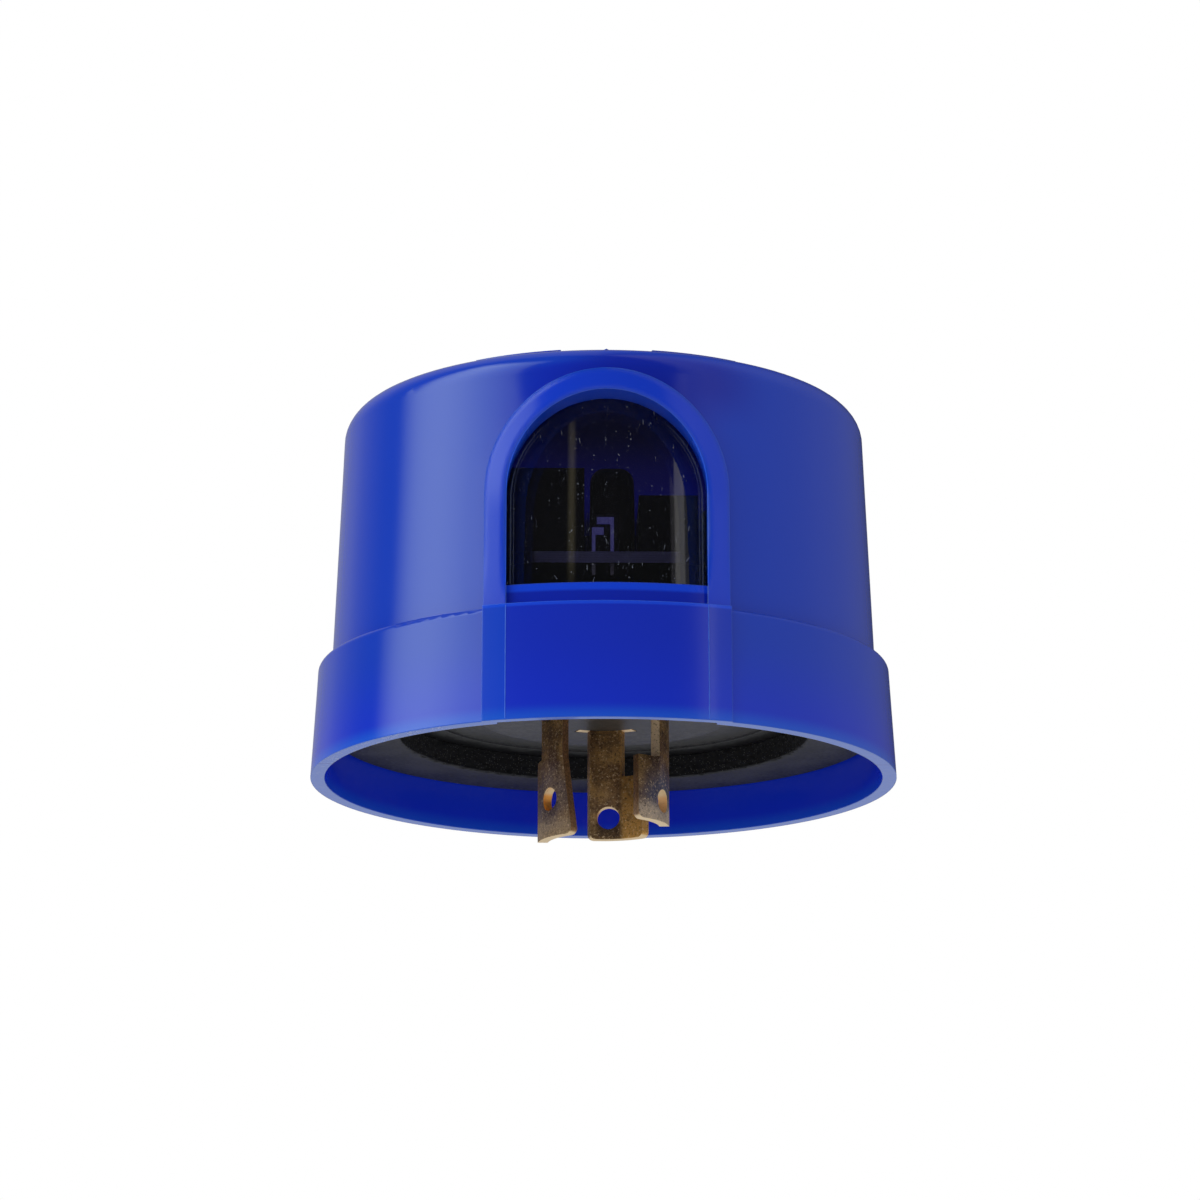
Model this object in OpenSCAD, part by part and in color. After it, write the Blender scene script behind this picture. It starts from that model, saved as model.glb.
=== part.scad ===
// Twist-lock photocell switch for an outdoor lamp.
// A drafted round cap with an arched side window closes over a base plate with three locking blades.
// The origin is on the axis at the face of the foam seal. +Z is up, and the window looks along -Y.

/* [Housing] */
// Outer diameter of the skirt at its rim
skirt_d = 83.7; // [80:0.1:96]
// Draft of the skirt's wall in degrees
skirt_draft = 3.2; // [0.5:0.1:4]
// How far the skirt stands out past the body at the shoulder
shoulder_w = 2.8; // [2:0.1:5]
// Draft of the body's wall in degrees
body_draft = 2.2; // [0.5:0.05:2.5]
// Height of the body above the shoulder
body_h = 37.6; // [36:0.1:50]
// Wall thickness of the moulding
wall = 2; // [1.6:0.1:2.6]
// Radius of the rounded top edge
top_round = 4; // [3:0.5:7]
// Radius of the shoulder's edge
shoulder_round = 0.8; // [0.3:0.1:1.5]

/* [Window] */
// Outer width of the arched frame
frame_w = 33.4; // [28:0.1:36]
// Width of the frame's raised band
frame_band = 3.05; // [2:0.05:4]
// How far the frame's top stays below the rounded top edge
frame_drop = 0.5; // [0.2:0.1:4]
// How far the middle of the frame's face stands out past the body's foot
frame_stand = 1.4; // [0.6:0.1:3]
// Radius of the curve across the sill and the panel
face_round = 50; // [46:1:120]
// Height of the window's sill above the shoulder
sill_rise = 3.2; // [1:0.1:6]
// Thickness of the window pane
pane_t = 2; // [1:0.1:2.4]
// How far the pane reaches behind the wall on each side of the opening
pane_lap = 1.4; // [0.8:0.1:2]
// Gap between the pane and the wall and rib that hold it
pane_gap = 0.15; // [0.05:0.05:0.3]
// Width of the rib round the pane
rib_w = 1.2; // [0.8:0.1:1.6]
// Thickness of the lips that keep the pane against the wall
lip_t = 0.9; // [0.6:0.1:1]
// How far the rib stands past the lips
rib_over = 0.3; // [0.1:0.1:0.5]
// How far each lip reaches over the pane
lip_reach = 1; // [0.6:0.1:1.4]

/* [Panel] */
// How far the panel's face stands out past the frame's face
panel_stand = 1.2; // [0.8:0.1:2.4]
// How far the panel stands out past each side of the frame
panel_lap = 0.1; // [0:0.05:1]
// Thickness of the panel in its middle
panel_t = 1.4; // [1.2:0.1:2]
// Width of the relief behind the panel
relief_w = 29.4; // [24:0.2:31]
// Radius of the curve across the relief
relief_round = 48; // [44:1:60]

/* [Top marks] */
// Height of the raised marks on the top
mark_h = 0.55; // [0.3:0.05:1]
// Width of the two raised bands
mark_w = 2.6; // [1.5:0.1:4]
// Distance from the bands to the edge of the flat top
mark_inset = 0.5; // [0.2:0.1:3]
// Angle from the window's middle to the near end of each band
mark_start = 11; // [8:1:16]
// Angle that each band covers
mark_span = 22; // [10:1:40]
// Width of the arrow that points to the window
arrow_w = 5.6; // [4:0.2:7]
// Length of the arrow
arrow_l = 11; // [8:0.5:16]

/* [Base and seal] */
// Depth of the skirt's rim below the seal's face
recess = 6.5; // [5:0.1:10]
// Thickness of the foam seal
seal_t = 3.4; // [2:0.1:5]
// Width of the foam seal's ring
seal_w = 10; // [6:0.1:11]
// Height of the base plate's edge between the seal and the housing's ledge
edge_h = 4.1; // [3.4:0.1:6]
// Width of the base plate's edge
edge_w = 5.2; // [4.8:0.1:6]
// Thickness of the base plate
base_t = 3; // [2.2:0.1:3.4]
// Gap between the skirt's wall and the base plate and seal
base_gap = 0.2; // [0.1:0.05:0.4]
// Diameter of the raised disc under the base plate
hub_d = 36; // [30:0.5:44]
// How far the disc stands down from the base plate
hub_drop = 0.65; // [0.3:0.05:1.2]
// Distance from the seal's inner edge to the shallow ring round the disc
ring_gap = 3.6; // [2:0.1:5]
// Depth of the shallow ring
ring_sink = 0.3; // [0.1:0.05:0.6]

/* [Blades] */
// Outer radius of the curve that the blades lie on
blade_r = 9.4; // [8.5:0.1:11]
// Thickness of the blades
blade_t = 1.4; // [1:0.1:1.6]
// Angles of the necks' middles on the line, load and neutral blades
blade_at = [215.4, 342.8, 86.9]; // [0:0.1:360]
// Angles that the three necks cover
neck_span = [31.2, 31.2, 33.6]; // [24:0.2:40]
// Angles by which the three toes reach past their necks
toe_span = [18.3, 26, 24.9]; // [12:0.1:36]
// Angles by which the three heels spread at the tips
heel_flare = [10, 0, 0]; // [0:0.5:10]
// Depths of the three tips below the seal's face
tip_depth = [15.6, 13.2, 13.3]; // [12.6:0.1:17]
// Angles from the necks' middles to the holes
hole_turn = [1.2, 8.8, 2.6]; // [0:0.1:10]
// Depth of the holes' middles below the seal's face
hole_depth = 10.15; // [8:0.05:10.4]
// Diameter of the holes in the blades
hole_d = 3.3; // [2:0.1:3.6]
// Depth of the feet's upper edges below the seal's face
foot_top = 4.1; // [3:0.1:6]
// Radius of the feet's lower corners
foot_round = 0.9; // [0.3:0.1:1.2]
// Angle that the shoulders in the base plate's slots cover
tail_span = 55.4; // [46:0.2:60]
// Angle by which a slot is wider than the shoulders at each end
slot_gap = 1.6; // [0.4:0.1:2]
// Gap between a blade's faces and its slot
slot_side = 0.1; // [0.05:0.05:0.2]
// Angle by which the stop on the base plate is wider than the slot at each end
stop_lap = 3; // [2:0.5:5]
// Height of the stop on the base plate
stop_h = 1.5; // [1:0.1:3]
// Angle that the stem up to the board covers
stem_span = 18; // [12:1:22]
// Angle between the neck's middle and the stem's middle
stem_turn = 18; // [16:0.5:19]

/* [Circuit board] */
// Height of the pillars that carry the board
pillar_h = 11.2; // [8:0.1:14]
// Diameter of the pillars
pillar_d = 6.5; // [5:0.1:7]
// Distance from the board's edge to the pillars' middles
pillar_inset = 3.5; // [3.2:0.1:4]
// Angles of the three screws about the axis
screw_turns = [90, 190, 350]; // [0:1:360]
// Diameter of the screws' shanks
screw_d = 2.5; // [2:0.1:3]
// Diameter of the screws' heads
head_d = 4.8; // [4.2:0.1:5.2]
// Height of the screws' heads
head_h = 1.8; // [1.2:0.1:2.4]
// Length of the screws' shanks
screw_l = 8; // [6:0.5:10]
// Thickness of the board
board_t = 1.6; // [1:0.1:2]
// Gap between the board's edge and the lips of the pane
board_gap = 0.7; // [0.5:0.1:1.6]
// Depth of the flat at the board's front
board_flat = 1.6; // [1:0.1:2.2]
// Clearance round leads and screws in the board
drill_gap = 0.15; // [0.05:0.05:0.3]
// Diameter of the leads
lead_d = 0.7; // [0.5:0.05:0.9]
// How far the leads stand out under the board
lead_out = 1.5; // [1:0.1:2.5]
// Radius of the solder round each lead
solder_r = 0.75; // [0.6:0.05:0.8]
// Height of the solder round each lead
solder_h = 0.9; // [0.5:0.1:1.4]

/* [Light sensor] */
// Width of the sensor's package
sensor_w = 4.4; // [4:0.1:5]
// Height of the sensor's package
sensor_h = 5.5; // [5:0.1:7]
// Thickness of the sensor's package
sensor_t = 1.8; // [1.5:0.1:2.4]
// Offset of the sensor's middle from the window's middle
sensor_x = -0.45; // [-3:0.05:3]
// Radius of the sensor's lens
lens_r = 0.8; // [0.5:0.05:1]
// Depth of the lens's middle below the top of the package
lens_drop = 1; // [0.8:0.1:1.2]
// Thickness of the sensor's lead frame
frame_t = 0.4; // [0.25:0.05:0.5]
// Width of the sensor's two legs
leg_w = 0.46; // [0.35:0.01:0.6]
// Distance between the sensor's two legs
leg_pitch = 2.54; // [2:0.02:3]

/* [Parts on the board] */
// Length, width and height of the relay's case
relay_size = [19, 15.5, 15.4]; // [10:0.1:20]
// Lengthwise and crosswise distances between the relay's outer leads
relay_pitch = [14.2, 12]; // [8:0.1:16]
// Distance from the relay's first lead to its coil leads
coil_step = 2; // [1.5:0.1:3]
// Middle of the relay on the board
relay_at = [-12.1, -10.4]; // [-14:0.1:-6]
// Height of the relay's case above the board
relay_lift = 0.4; // [0.3:0.1:1]
// Diameter of the varistor's disc
varistor_d = 16.4; // [10:0.1:17]
// Thickness of the varistor's disc
varistor_t = 6.2; // [4:0.1:6.4]
// Distance between the varistor's leads
varistor_pitch = 7.5; // [5:0.5:10]
// Middle of the varistor on the board
varistor_at = [1.05, -12]; // [-14:0.05:6]
// Length, width and height of the dropper capacitor's box
dropper_size = [8.4, 18, 12.2]; // [6:0.1:20]
// Distance between the dropper capacitor's leads
dropper_pitch = 15; // [10:0.5:16]
// Middle of the dropper capacitor on the board
dropper_at = [9, -7]; // [-8:0.1:10]
// Diameter of the smoothing capacitor's can
can_d = 8; // [5:0.1:8.6]
// Height of the smoothing capacitor's can
can_h = 11.6; // [8:0.1:16]
// Distance between the smoothing capacitor's leads
can_pitch = 3.5; // [2:0.1:5]
// Middle of the smoothing capacitor on the board
can_at = [18, -8.6]; // [-10:0.1:20]
// Diameter of the diodes' bodies
diode_d = 2.7; // [2:0.1:3]
// Length of the diodes' bodies
diode_l = 5.2; // [4:0.1:6]
// Diameter of the resistors' bodies
resistor_d = 2.5; // [1.8:0.1:3]
// Length of the resistors' bodies
resistor_l = 6.3; // [4:0.1:6.6]
// Distance between the two leads of a lying part
axial_pitch = 10; // [9.5:0.5:11]
// Distance between neighbouring lying parts
axial_step = 4; // [3.6:0.1:4.2]
// Place of the row of lying parts, as a share of the board's radius
axial_share = 0.538; // [0.5:0.002:0.56]
// Diameter of the driver transistor's body
driver_d = 4.8; // [4:0.1:5.2]
// Height of the driver transistor's body
driver_h = 4.8; // [4:0.1:5.2]
// Middle of the driver transistor on the board
driver_at = [-17, 6.5]; // [-18:0.1:8]
// Distance between the driver transistor's leads
driver_pitch = 1.7; // [1.7:0.05:1.9]
// Height of the driver transistor's body above the board
driver_lift = 2.5; // [1:0.1:4]

/* [Hidden] */
$fn = 96;
// Overlap that joins shapes of one piece, and the overrun of cuts
join = 0.5;
// Share of a corner's radius that a drafted side aims at, so that it crosses the round and doesn't graze it
cross_share = 0.999;
// Flats that round a foot's corner
corner_steps = 6;
// Angle by which cuts run past the ends of a blade
run_out = 2;

// Heights
rim_z = -recess;
base_z = seal_t;
hub_z = base_z - hub_drop;
base_top = base_z + base_t;
ledge_z = base_z + edge_h;
shoulder_z = ledge_z + wall;
top_z = shoulder_z + body_h;
arch_z = top_z - top_round - frame_drop - frame_w / 2;
sill_z = shoulder_z + sill_rise;
board_z = base_top + pillar_h;
board_top = board_z + board_t;

// Widths and radii
body_d = skirt_d - 2 * shoulder_w;
frame_reach = body_d / 2 + frame_stand;
panel_reach = frame_reach + panel_stand;
relief_reach = panel_reach - panel_t;
sill_reach = body_d / 2;
panel_w = frame_w + 2 * panel_lap;
opening_w = frame_w - 2 * frame_band;
pane_w = opening_w + 2 * pane_lap;
pocket_t = 2 * pane_gap + pane_t;
rib_t = pocket_t + lip_t + rib_over;
top_flat_r = top_corner(body_d / 2, body_draft, body_h, top_round);
base_r = skirt_inside(ledge_z) - base_gap;
seal_r = skirt_inside(base_z) - base_gap;
seal_in = seal_r - seal_w;
ring_r = seal_in - ring_gap;
blade_in = blade_r - blade_t;
board_r = body_inside(board_top) - rib_t - board_gap;
board_front = board_r - board_flat;
pillar_reach = board_r - pillar_inset;
axial_y = axial_share * board_r;

// Places of the screws and of every lead on the board
screw_places = [for (a = screw_turns) pillar_reach * [cos(a), sin(a)]];
relay_ends = [[-relay_pitch.x / 2, 0], [coil_step - relay_pitch.x / 2, relay_pitch.y / 2],
    [coil_step - relay_pitch.x / 2, -relay_pitch.y / 2], relay_pitch / 2, [relay_pitch.x / 2, -relay_pitch.y / 2]];
relay_leads = [for (p = relay_ends) relay_at + p];
varistor_leads = [for (s = [-1, 1]) varistor_at + [0, s * varistor_pitch / 2]];
dropper_leads = [for (s = [-1, 1]) dropper_at + [0, s * dropper_pitch / 2]];
can_leads = [for (s = [-1, 1]) can_at + [s * can_pitch / 2, 0]];
driver_leads = [for (s = [-1, 0, 1]) driver_at + [s * driver_pitch, 0]];
diode_x = [for (i = [0:3]) (i - 2.75) * axial_step];
zener_x = 1.25 * axial_step;
resistor_x = [for (i = [0:2]) (i + 2.25) * axial_step];
axial_leads = [for (x = concat(diode_x, [zener_x], resistor_x), s = [-1, 1])
    [x, axial_y + s * axial_pitch / 2]];
round_leads = concat(relay_leads, varistor_leads, dropper_leads, can_leads, driver_leads, axial_leads);
sensor_legs = [for (s = [-1, 1]) [sensor_x + s * leg_pitch / 2, sensor_t / 2 - board_front]];

// Radius at which a drafted wall's rounded top corner has its centre
function top_corner(r, draft, h, corner) = r - (h - corner) * tan(draft) - corner / cos(draft);
// Inner radius of the skirt and of the body at a height
function skirt_inside(z) = skirt_d / 2 - wall - (z - rim_z) * tan(skirt_draft);
function body_inside(z) = body_d / 2 - wall - (z - shoulder_z) * tan(body_draft);

// Half section of a drafted plug with a rounded top corner
module drafted_half(r, draft, z0, h, corner) {
    x = top_corner(r, draft, h, corner);
    z = z0 + h - corner;
    side = corner * cross_share;
    union() {
        polygon([[0, z0], [r, z0], [x + side * cos(draft), z + side * sin(draft)],
            [x, z0 + h], [0, z0 + h]]);
        translate([x, z])
            circle(corner);
    }
}

// Arch outline, as wide as its round top, from a foot level up
module arch(w, foot_z) {
    translate([0, arch_z])
        circle(d = w);
    translate([-w / 2, foot_z])
        square([w, arch_z - foot_z]);
}

// Band between two arches
module arch_band(w_out, w_in, foot_z) {
    difference() {
        arch(w_out, foot_z);
        arch(w_in, foot_z - join);
    }
}

// Runs a front outline from the axis out through the window's side
module through_front() {
    rotate([90, 0, 0])
        linear_extrude(skirt_d)
            children();
}

// Everything behind a curved face at a distance in front of the axis
module behind_face(reach, bend) {
    translate([0, bend - reach, rim_z - join])
        cylinder(r = bend, h = top_z - rim_z + 2 * join);
}

// Ring that follows the body's inner wall, between two depths from it
module wall_ring(near, far, z0, z1) {
    rotate_extrude()
        polygon([[body_inside(z0) - far, z0], [body_inside(z0) - near, z0],
            [body_inside(z1) - near, z1], [body_inside(z1) - far, z1]]);
}

// Stretch of a ring about the axis
module sector(r_in, r_out, a0, a1, z0, z1) {
    rotate([0, 0, a0])
        rotate_extrude(angle = a1 - a0)
            translate([r_in, z0])
                square([r_out - r_in, z1 - z0]);
}

// Closed outside of the cap, before it is hollowed
module cap_outside() {
    rotate_extrude() {
        drafted_half(skirt_d / 2, skirt_draft, rim_z, shoulder_z - rim_z, shoulder_round);
        drafted_half(body_d / 2, body_draft, shoulder_z, body_h, top_round);
    }
}

// Inside of the body, and of the skirt with the relief behind the panel
module cap_inside() {
    rotate_extrude()
        drafted_half(body_inside(ledge_z), body_draft, ledge_z, top_z - wall - ledge_z, top_round - wall);
    rotate_extrude()
        polygon([[0, rim_z - join], [skirt_inside(rim_z - join), rim_z - join],
            [skirt_inside(ledge_z), ledge_z], [0, ledge_z]]);
    intersection() {
        translate([-relief_w / 2, -skirt_d, rim_z - join])
            cube([relief_w, skirt_d, ledge_z - rim_z]);
        behind_face(relief_reach, relief_round);
    }
}

// Block of the panel's width in front of the axis
module panel_block() {
    translate([-panel_w / 2, -skirt_d, rim_z])
        cube([panel_w, skirt_d, shoulder_z - rim_z]);
}

// Room inside the frame: through the wall above the sill, and down to the sill's curved face
module window_cut() {
    difference() {
        through_front()
            arch(opening_w, shoulder_z);
        intersection() {
            translate([-frame_w / 2, -skirt_d, shoulder_z - join])
                cube([frame_w, skirt_d, sill_rise + join]);
            behind_face(sill_reach, face_round);
        }
    }
}

// Rib with lips that holds the pane against the wall
module pane_rib() {
    rib_foot = ledge_z + join;
    pocket_w = pane_w + 2 * pane_gap;
    rib_top = arch_z + pocket_w / 2 + rib_w;
    intersection() {
        wall_ring(-join, rib_t, rib_foot, rib_top);
        through_front()
            arch_band(pocket_w + 2 * rib_w, pocket_w, rib_foot);
    }
    intersection() {
        wall_ring(pocket_t, pocket_t + lip_t, rib_foot + join, arch_z);
        through_front()
            arch_band(pocket_w + rib_w, pane_w - 2 * lip_reach, rib_foot);
    }
}

// Raised arrow to the window and two raised bands on the top
module top_marks() {
    mark_r = top_flat_r - mark_inset;
    head_l = arrow_w * 0.75;
    for (s = [-1, 1])
        sector(mark_r - mark_w, mark_r, 270 + s * (mark_start + mark_span / 2) - mark_span / 2,
            270 + s * (mark_start + mark_span / 2) + mark_span / 2, top_z - join, top_z + mark_h);
    translate([0, -mark_r, top_z - join])
        linear_extrude(mark_h + join)
            polygon([[0, 0], [arrow_w / 2, head_l], [arrow_w / 6, head_l], [arrow_w / 6, arrow_l],
                [-arrow_w / 6, arrow_l], [-arrow_w / 6, head_l], [-arrow_w / 2, head_l]]);
}

module housing() {
    color([0.05, 0.16, 0.72]) {
        difference() {
            union() {
                difference() {
                    cap_outside();
                    difference() {
                        panel_block();
                        behind_face(panel_reach, face_round);
                    }
                }
                intersection() {
                    panel_block();
                    behind_face(panel_reach, face_round);
                }
                intersection() {
                    through_front()
                        arch(frame_w, shoulder_z - join);
                    behind_face(frame_reach, frame_reach);
                }
                top_marks();
            }
            cap_inside();
            window_cut();
        }
        pane_rib();
    }
}

module window_pane() {
    pane_top = arch_z + pane_w / 2;
    color([0.04, 0.04, 0.1, 0.6])
        intersection() {
            wall_ring(pane_gap, pane_gap + pane_t, ledge_z, pane_top);
            through_front()
                arch(pane_w, ledge_z);
        }
}

module seal_ring() {
    color([0.22, 0.23, 0.25])
        difference() {
            cylinder(r = seal_r, h = seal_t);
            translate([0, 0, -join])
                cylinder(r = seal_in, h = seal_t + 2 * join);
        }
}

module base_plate() {
    color([0.25, 0.26, 0.29])
        difference() {
            union() {
                rotate_extrude()
                    polygon([[0, hub_z], [hub_d / 2, hub_z], [hub_d / 2, base_z + ring_sink],
                        [ring_r, base_z + ring_sink], [ring_r, base_z], [base_r, base_z],
                        [base_r, ledge_z], [base_r - edge_w, ledge_z], [base_r - edge_w, base_top],
                        [0, base_top]]);
                for (p = screw_places)
                    translate([p.x, p.y, base_top - join])
                        cylinder(d = pillar_d, h = pillar_h + join);
            }
            for (p = screw_places)
                translate([p.x, p.y, board_z - screw_l])
                    cylinder(d = screw_d + 2 * drill_gap, h = screw_l + join);
            for (at = blade_at)
                blade_slot(at, tail_span + 2 * slot_gap, hub_z - join, base_top + join);
        }
}

// Room for a blade's curve about an angle
module blade_slot(at, span, z0, z1) {
    sector(blade_in - slot_side, blade_r + slot_side, at - span / 2, at + span / 2, z0, z1);
}

// Wedge between two angles and two heights that takes in the blades' curve
module wedge(a0, a1, z0, z1) {
    near = blade_in / 2;
    far = 2 * blade_r;
    translate([0, 0, z0])
        linear_extrude(z1 - z0)
            polygon([near * [cos(a0), sin(a0)], far * [cos(a0), sin(a0)],
                far * [cos(a1), sin(a1)], near * [cos(a1), sin(a1)]]);
}

// Room past a blade's end up to a height, with the round of the foot's lower corner. The foot's end
// leans out towards the tip. Side is -1 at the toe and 1 at the heel
module end_cut(angle, side, depth, lean, top) {
    z = foot_round - depth;
    x = -(z + foot_top) * tan(lean) - foot_round / cos(lean);
    corner = [for (k = [0:corner_steps - 1]) lean - (90 + lean) * k / corner_steps];
    arc = [for (a = corner) [x + foot_round * cos(a), z + foot_round * sin(a)]];
    tip = [x, -depth];
    last = arc[corner_steps - 1];
    below = tip + (tip - last) * join / (last.y + depth);
    rotate([0, 0, angle])
        scale([1, side, 1])
            rotate([90, 0, 90])
                linear_extrude(3 * blade_r)
                    polygon(concat([below, [blade_r, -depth - join], [blade_r, top], [0, top],
                        [0, -foot_top]], arc));
}

// Curved blade: foot and neck below the base plate, shoulders in its slot, stop and stem above it
module blade(i) {
    at = blade_at[i];
    neck_0 = at - neck_span[i] / 2;
    neck_1 = at + neck_span[i] / 2;
    toe = neck_0 - toe_span[i];
    depth = tip_depth[i];
    lean = atan(blade_r * heel_flare[i] * PI / 180 / (depth - foot_top));
    stem_at = at - stem_turn;
    stop_span = tail_span + 2 * (slot_gap + stop_lap);
    color([0.55, 0.44, 0.24])
        difference() {
            intersection() {
                rotate([0, 0, at])
                    sector(blade_in, blade_r, -120, 120, -depth - join, board_top + join);
                union() {
                    difference() {
                        wedge(toe - run_out, neck_1 + heel_flare[i] + run_out, -depth, hub_z + join);
                        wedge(toe - 2 * run_out, neck_0, -foot_top, hub_z + 2 * join);
                        end_cut(toe, -1, depth, 0, -foot_top + join);
                        end_cut(neck_1, 1, depth, lean, hub_z + 2 * join);
                    }
                    wedge(at - tail_span / 2, at + tail_span / 2, hub_z, base_top + join);
                    wedge(at - stop_span / 2, at + stop_span / 2, base_top, base_top + stop_h);
                    wedge(stem_at - stem_span / 2, stem_at + stem_span / 2, base_top + stop_h - join, board_top);
                }
            }
            rotate([0, 0, at - hole_turn[i]])
                translate([0, 0, -hole_depth])
                    rotate([0, 90, 0])
                        cylinder(d = hole_d, h = 2 * blade_r);
        }
}

module blade_line() {
    blade(0);
}

module blade_load() {
    blade(1);
}

module blade_neutral() {
    blade(2);
}

module circuit_board() {
    color([0.18, 0.26, 0.2])
        difference() {
            translate([0, 0, board_z])
                cylinder(r = board_r, h = board_t);
            translate([-board_r, -2 * board_r - board_front, board_z - join])
                cube([2 * board_r, 2 * board_r, board_t + 2 * join]);
            for (p = screw_places)
                translate([p.x, p.y, board_z - join])
                    cylinder(d = screw_d + 2 * drill_gap, h = board_t + 2 * join);
            for (p = round_leads)
                translate([p.x, p.y, board_z - join])
                    cylinder(d = lead_d + 2 * drill_gap, h = board_t + 2 * join);
            for (p = sensor_legs)
                translate([p.x, p.y, board_z - join])
                    cylinder(d = leg_w * sqrt(2) + 2 * drill_gap, h = board_t + 2 * join);
            for (at = blade_at)
                blade_slot(at - stem_turn, stem_span + 2 * slot_gap, board_z - join, board_top + join);
        }
}

module board_screws() {
    drive_w = head_d / 6;
    color([0.7, 0.7, 0.72])
        for (p = screw_places)
            translate([p.x, p.y, board_top])
                difference() {
                    union() {
                        cylinder(d = head_d, h = head_h);
                        translate([0, 0, -screw_l + board_t + join])
                            cylinder(d = screw_d, h = screw_l - board_t);
                    }
                    for (a = [0, 90])
                        rotate([0, 0, a])
                            translate([-head_d / 4, -drive_w / 2, head_h / 2])
                                cube([head_d / 2, drive_w, head_h]);
                }
}

// One flat stretch of the sensor's lead frame, between two corners of its front outline
module frame_bar(x0, x1, z0, z1) {
    translate([sensor_x + x0, (sensor_t - frame_t) / 2 - board_front, board_top + z0])
        cube([x1 - x0, frame_t, z1 - z0]);
}

module sensor_leads() {
    leg_x = leg_pitch / 2;
    pad_top = sensor_h * 0.66;
    arm_top = sensor_h - 0.4;
    color([0.75, 0.75, 0.78]) {
        frame_bar(-leg_x - leg_w / 2, -leg_x + leg_w / 2, -board_t - lead_out, pad_top);
        frame_bar(-leg_x - leg_w / 2, 0.1, pad_top - 0.95, pad_top);
        frame_bar(leg_x - leg_w / 2, leg_x + leg_w / 2, -board_t - lead_out, arm_top);
        frame_bar(-leg_x + leg_w, leg_x + leg_w / 2, arm_top - 0.9, arm_top);
    }
}

module light_sensor() {
    color([0.5, 0.55, 0.65, 0.5])
        difference() {
            union() {
                translate([sensor_x - sensor_w / 2, -board_front, board_top])
                    cube([sensor_w, sensor_t, sensor_h]);
                translate([sensor_x, -board_front, board_top + sensor_h - lens_drop])
                    sphere(lens_r);
            }
            sensor_leads();
        }
}

// Round leads from a height down through the board
module leads(places, from_z) {
    for (p = places)
        translate([p.x, p.y, board_z - lead_out])
            cylinder(d = lead_d, h = from_z - board_z + lead_out);
}

module relay() {
    case_z = board_top + relay_lift;
    lid_h = relay_size.z - 1.2;
    color([0.06, 0.06, 0.07]) {
        translate([relay_at.x - relay_size.x / 2, relay_at.y - relay_size.y / 2, case_z])
            cube([relay_size.x, relay_size.y, relay_size.z - lid_h]);
        translate([relay_at.x, relay_at.y, case_z + relay_size.z - lid_h - join])
            linear_extrude(lid_h + join)
                square([relay_size.x - 0.6, relay_size.y - 0.6], center = true);
        for (sx = [-1, 1], sy = [-1, 1])
            translate([relay_at.x + sx * (relay_size.x / 2 - 1), relay_at.y + sy * (relay_size.y / 2 - 1), board_top])
                cylinder(d = 1.2, h = relay_lift + join);
        leads(relay_leads, case_z + join);
    }
}

module varistor() {
    lift = lead_d;
    rim = varistor_t / 3;
    color([0.1, 0.12, 0.2]) {
        translate([varistor_at.x, varistor_at.y, board_top + lift + varistor_d / 2])
            rotate([0, 90, 0])
                rotate_extrude() {
                    translate([0, -varistor_t / 2])
                        square([varistor_d / 2 - rim, varistor_t]);
                    translate([0, -varistor_t / 2 + rim])
                        square([varistor_d / 2, varistor_t - 2 * rim]);
                    for (s = [-1, 1])
                        translate([varistor_d / 2 - rim, s * (varistor_t / 2 - rim)])
                            circle(rim);
                }
        leads(varistor_leads, board_top + lift + varistor_d / 4);
    }
}

module dropper_capacitor() {
    color([0.12, 0.12, 0.14]) {
        translate([dropper_at.x - dropper_size.x / 2, dropper_at.y - dropper_size.y / 2, board_top + drill_gap])
            cube(dropper_size);
        leads(dropper_leads, board_top + join);
    }
}

module smoothing_capacitor() {
    bead_r = 0.35;
    bead_z = can_h * 0.16;
    color([0.1, 0.1, 0.13]) {
        translate([can_at.x, can_at.y, board_top + drill_gap])
            difference() {
                cylinder(d = can_d, h = can_h);
                translate([0, 0, bead_z])
                    rotate_extrude()
                        translate([can_d / 2 + bead_r / 2, 0])
                            circle(bead_r);
            }
        leads(can_leads, board_top + join);
    }
}

// Lying part: a round body between two leads that turn down into the board
module lying_part(x, d, l) {
    body_z = board_top + d / 2 + drill_gap;
    translate([x, axial_y - l / 2, body_z])
        rotate([-90, 0, 0])
            cylinder(d = d, h = l);
    translate([x, axial_y - axial_pitch / 2, body_z])
        rotate([-90, 0, 0])
            cylinder(d = lead_d * 0.85, h = axial_pitch);
    leads([for (s = [-1, 1]) [x, axial_y + s * axial_pitch / 2]], body_z + lead_d / 2);
}

module rectifier_diodes() {
    color([0.08, 0.08, 0.08])
        for (x = diode_x)
            lying_part(x, diode_d, diode_l);
}

module zener_diode() {
    color([0.6, 0.25, 0.12])
        lying_part(zener_x, diode_d, diode_l);
}

module resistors() {
    color([0.7, 0.6, 0.42])
        for (x = resistor_x)
            lying_part(x, resistor_d, resistor_l);
}

module driver_transistor() {
    body_z = board_top + driver_lift;
    color([0.07, 0.07, 0.07]) {
        translate([driver_at.x, driver_at.y, body_z])
            difference() {
                cylinder(d = driver_d, h = driver_h);
                translate([-driver_d, -driver_d * 1.25, -join])
                    cube([2 * driver_d, driver_d, driver_h + 2 * join]);
            }
        leads(driver_leads, body_z + join);
    }
}

module solder_joints() {
    color([0.72, 0.73, 0.75])
        for (p = round_leads)
            translate([p.x, p.y, board_z - solder_h])
                difference() {
                    cylinder(r1 = lead_d * 0.7, r2 = solder_r, h = solder_h);
                    translate([0, 0, -join])
                        cylinder(d = lead_d, h = solder_h + 2 * join);
                }
}

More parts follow.
